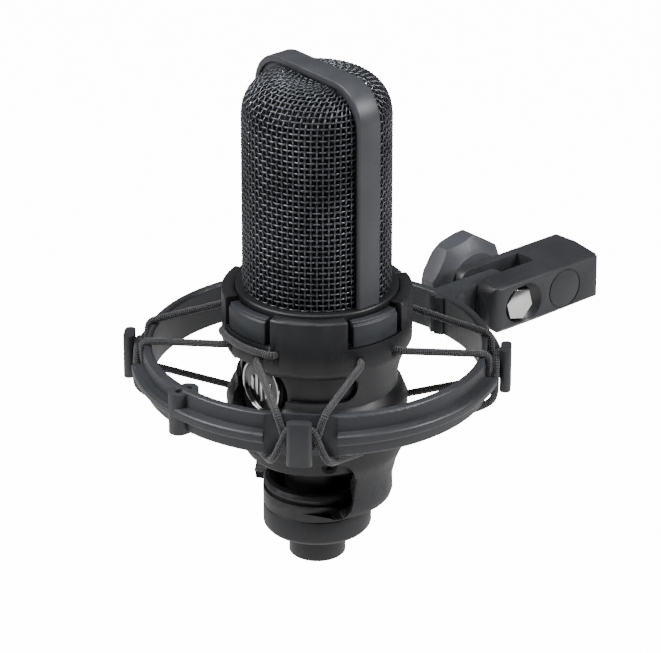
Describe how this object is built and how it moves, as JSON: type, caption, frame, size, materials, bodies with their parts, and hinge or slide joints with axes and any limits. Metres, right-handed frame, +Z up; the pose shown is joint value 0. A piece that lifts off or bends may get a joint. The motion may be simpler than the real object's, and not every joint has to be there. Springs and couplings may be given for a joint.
{
  "type": "condenser microphone",
  "caption": "Side-address condenser microphone with a woven grille, held by elastic cords in a ring shock mount on a swivel clamp.",
  "frame": {"origin": "centre of the output connector's mouth", "axes": "+Z up along the microphone, its front faces -Y, the stand clamp lies towards +Y, +X to the front's right"},
  "size_m": [0.1184, 0.1711, 0.169],
  "materials": {
    "body": "satin black powder coat",
    "rib": "satin dark grey paint",
    "mesh": "black woven steel wire",
    "moulding": "fine-textured dark moulded nylon",
    "grip": "satin dark grey soft plastic",
    "ring": "fine-textured grey moulded nylon",
    "cord": "braided elastic cord",
    "clamp": "satin moulded nylon",
    "knob": "satin grey moulded knob",
    "bright": "polished nickel plate",
    "black_steel": "black oxide screw",
    "steel": "bright zinc plate",
    "brass": "machined brass",
    "badge": "gloss black enamel",
    "insulator": "black insulator",
    "film": "gold-sputtered film",
    "board": "green solder mask",
    "can": "drawn can",
    "sleeve": "red sleeve",
    "rubber": "black rubber",
    "fibre": "brown fibre"
  },
  "bodies": {
    "clamp": {"swivel_clamp": "clamp", "clamp_bolt": "bright", "friction_washers": "fibre", "thread_insert": "brass"},
    "ring": {"suspension_ring": "ring", "upper_elastic": "cord", "lower_elastic": "cord"},
    "cradle": {"cradle": "moulding", "collar_grips": "grip", "seat_washer": "rubber", "front_cord_bridge": "cord"},
    "microphone": {"body_shell": "body", "top_ring": "body", "grille_frame": "rib", "outer_mesh_front": "mesh", "outer_mesh_rear": "mesh", "inner_mesh": "mesh", "badge_ring": "bright", "badge_disc": "badge", "badge_bars": "bright", "base_neck": "body", "output_shell": "body", "base_screws": "black_steel", "xlr_insert": "insulator", "xlr_pins": "bright", "switch_plate": "insulator", "capsule_body": "brass", "backplate": "brass", "diaphragms": "film", "clamp_rings": "brass", "capsule_screws": "steel", "capsule_saddle": "insulator", "isolator": "rubber", "top_deck": "body", "deck_screws": "steel", "circuit_board": "board", "board_brackets": "steel", "transformer": "can", "capacitors": "sleeve", "transistors": "insulator", "capsule_leads": "sleeve", "output_leads": "sleeve"},
    "low_cut": {"low_cut_switch": "insulator"},
    "pad": {"pad_switch": "insulator"},
    "lock": {"locking_ring": "moulding"},
    "knob_slide": {"knob_washer": "steel"},
    "knob": {"clamp_knob": "knob", "knob_insert": "brass"}
  },
  "joints": [
    {"name": "tilt", "type": "hinge", "parent": "clamp", "child": "ring", "pos_m": [0, 0.0777, 0.0683], "axis": [1, 0, 0], "range_deg": [-90, 90]},
    {"name": "bounce", "type": "slide", "parent": "ring", "child": "cradle", "axis": [0, 0, 1], "range_m": [-0.004, 0.004], "stiffness_N_per_m": 1600, "springref_m": 0.003, "deforming": ["upper_elastic", "lower_elastic"]},
    {"name": "lift_out", "type": "slide", "parent": "cradle", "child": "microphone", "axis": [0, 0, 1], "range_m": [0, 0.1]},
    {"name": "lock_turn", "type": "hinge", "parent": "cradle", "child": "lock", "pos_m": [0, 0, 0.0143], "axis": [0, 0, 1], "range_deg": [0, 60]},
    {"name": "low_cut_slide", "type": "slide", "parent": "microphone", "child": "low_cut", "axis": [1, 0, 0], "range_m": [0, 0.003]},
    {"name": "pad_slide", "type": "slide", "parent": "microphone", "child": "pad", "axis": [1, 0, 0], "range_m": [0, 0.003]},
    {"name": "knob_back_off", "type": "slide", "parent": "clamp", "child": "knob_slide", "axis": [-1, 0, 0], "range_m": [0, 0.00125]},
    {"name": "knob_turn", "type": "hinge", "parent": "knob_slide", "child": "knob", "pos_m": [-0.016, 0.0777, 0.0683], "axis": [-1, 0, 0], "range_deg": [0, 360]}
  ],
  "couplings": [
    {"joint": "knob_back_off", "follows": "knob_turn", "m_per_rad": 0.000198}
  ]
}
